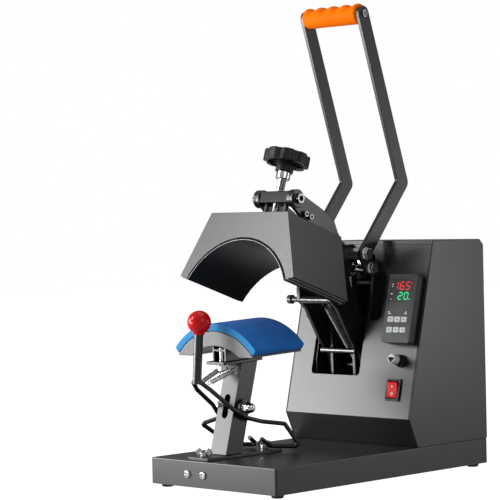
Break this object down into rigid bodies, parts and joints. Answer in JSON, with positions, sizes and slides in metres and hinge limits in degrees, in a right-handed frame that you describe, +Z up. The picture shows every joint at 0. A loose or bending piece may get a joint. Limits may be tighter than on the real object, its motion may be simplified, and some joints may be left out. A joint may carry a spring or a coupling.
{
  "type": "cap heat press",
  "caption": "Curved clamshell heat press for caps, with a lever handle, an arched heated head, a padded platen and a control tower.",
  "frame": {"origin": "middle of the whole machine's footprint box, on the surface it stands on", "axes": "+X to the operator's right, +Y from the operator to the back, +Z up"},
  "size_m": [0.2524, 0.4478, 0.657],
  "materials": {
    "black_coat": "satin black powder coat",
    "chrome": "bright plated",
    "zinc": "zinc plated steel",
    "rubber": "matte",
    "pad_foam": "blue silicone foam, fine texture",
    "platen_plastic": "matte",
    "coated_aluminium": "non-stick coating over aluminium",
    "red_gloss": "gloss",
    "orange_plastic": "satin gloss",
    "black_plastic": "fine texture",
    "grey_plastic": "satin",
    "key_grey": "satin",
    "insulation": "fibre blanket",
    "switch_red": "translucent red"
  },
  "bodies": {
    "root": {"base_floor": "zinc", "base_front_screws": "chrome", "base_tray": "black_coat", "clamp_pivot_bolt": "chrome", "clamp_springs": "zinc", "controller_bezel": "grey_plastic", "controller_housing": "black_plastic", "foot_wing_screws": "zinc", "frame_plate_left": "black_coat", "frame_plate_right": "black_coat", "frame_rods": "chrome", "frame_shafts": "chrome", "fuse_holder": "black_plastic", "limit_switch": "black_plastic", "platen_base": "platen_plastic", "platen_pad": "pad_foam", "platen_post": "black_coat", "platen_saddle": "black_coat", "platen_stud": "chrome", "post_foot_plate": "black_coat", "post_top_plate": "black_coat", "power_inlet": "black_plastic", "rocker_bezel": "black_plastic", "rubber_feet": "rubber", "solid_state_relay": "grey_plastic", "switch_bracket": "zinc", "tower_back_cover": "black_coat", "tower_front_panel": "black_coat", "tower_side_left": "black_coat", "tower_side_right": "black_coat"},
    "arm": {"arm_plate_left": "black_coat", "arm_plate_right": "black_coat", "crossbar": "black_coat", "arm_bolts": "chrome", "arm_spacers": "chrome", "handle_shaft": "chrome"},
    "handle": {"handle_bar_left": "black_coat", "handle_bar_right": "black_coat", "handle_grip": "orange_plastic", "grip_bolt": "chrome", "link_shaft": "chrome"},
    "links": {"toggle_links": "black_coat"},
    "spring": {"return_spring": "zinc"},
    "head": {"head_housing": "black_coat", "heating_plate": "coated_aluminium", "heater_blanket": "insulation", "head_bracket": "black_coat"},
    "knob": {"pressure_screw": "chrome", "pressure_knob": "black_plastic"},
    "clamp": {"clamp_lever": "black_coat", "clamp_ball": "red_gloss"},
    "rocker_switch": {"rocker": "switch_red"},
    "fuse_carrier": {"fuse_cap": "grey_plastic"},
    "key_1": {"controller_key_1": "key_grey"},
    "key_2": {"controller_key_2": "key_grey"},
    "key_3": {"controller_key_3": "key_grey"},
    "key_4": {"controller_key_4": "key_grey"},
    "key_5": {"controller_key_5": "key_grey"},
    "key_6": {"controller_key_6": "key_grey"}
  },
  "joints": [
    {"name": "arm_pivot", "type": "hinge", "parent": "root", "child": "arm", "pos_m": [-0.0198, 0.1413, 0.1119], "axis": [1, 0, 0], "range_deg": [0, 21], "stiffness_Nm_per_rad": 12, "springref_deg": -85.94},
    {"name": "handle_pivot", "type": "hinge", "parent": "arm", "child": "handle", "pos_m": [-0.0198, 0.069, 0.3063], "axis": [1, 0, 0], "range_deg": [0, 60]},
    {"name": "link_pivot", "type": "hinge", "parent": "root", "child": "links", "pos_m": [-0.0198, 0.0874, 0.106], "axis": [1, 0, 0], "range_deg": [0, 17.5]},
    {"name": "spring_swing", "type": "hinge", "parent": "root", "child": "spring", "pos_m": [-0.0198, 0.1034, 0.147], "axis": [1, 0, 0], "range_deg": [0, 29.5]},
    {"name": "pressure_knob_turn", "type": "hinge", "parent": "head", "child": "knob", "pos_m": [-0.0198, -0.0496, 0.385], "axis": [0, 0.3206, 0.9472], "range_deg": [0, 1440]},
    {"name": "head_lift", "type": "slide", "parent": "arm", "child": "head", "axis": [0, 0.3206, 0.9472], "range_m": [0, 0.008]},
    {"name": "clamp_swing", "type": "hinge", "parent": "root", "child": "clamp", "pos_m": [-0.0198, -0.1446, 0.106], "axis": [1, 0, 0], "range_deg": [0, 15], "stiffness_Nm_per_rad": 1.6, "springref_deg": -22.92, "deforming": ["clamp_springs"]},
    {"name": "power_rocker", "type": "hinge", "parent": "root", "child": "rocker_switch", "pos_m": [0.0912, 0.05604, 0.11902], "axis": [1, 0, 0], "range_deg": [-16, 0]},
    {"name": "fuse_cap_turn", "type": "hinge", "parent": "root", "child": "fuse_carrier", "pos_m": [0.0982, 0.06655, 0.15815], "axis": [0, -0.9718, 0.2357], "range_deg": [0, 90]},
    {"name": "key_1_press", "type": "slide", "parent": "root", "child": "key_1", "axis": [0, 0.9718, -0.2357], "range_m": [0, 0.0008], "stiffness_N_per_m": 900, "springref_m": -0.0004},
    {"name": "key_2_press", "type": "slide", "parent": "root", "child": "key_2", "axis": [0, 0.9718, -0.2357], "range_m": [0, 0.0008], "stiffness_N_per_m": 900, "springref_m": -0.0004},
    {"name": "key_3_press", "type": "slide", "parent": "root", "child": "key_3", "axis": [0, 0.9718, -0.2357], "range_m": [0, 0.0008], "stiffness_N_per_m": 900, "springref_m": -0.0004},
    {"name": "key_4_press", "type": "slide", "parent": "root", "child": "key_4", "axis": [0, 0.9718, -0.2357], "range_m": [0, 0.0008], "stiffness_N_per_m": 900, "springref_m": -0.0004},
    {"name": "key_5_press", "type": "slide", "parent": "root", "child": "key_5", "axis": [0, 0.9718, -0.2357], "range_m": [0, 0.0008], "stiffness_N_per_m": 900, "springref_m": -0.0004},
    {"name": "key_6_press", "type": "slide", "parent": "root", "child": "key_6", "axis": [0, 0.9718, -0.2357], "range_m": [0, 0.0008], "stiffness_N_per_m": 900, "springref_m": -0.0004}
  ],
  "couplings": [
    {"joint": "handle_pivot", "follows": "arm_pivot", "ratio": 2.8571},
    {"joint": "link_pivot", "follows": "arm_pivot", "ratio": 0.83333},
    {"joint": "spring_swing", "follows": "arm_pivot", "ratio": 1.4048},
    {"joint": "pressure_knob_turn", "follows": "head_lift", "rad_per_m": 3141.6}
  ]
}
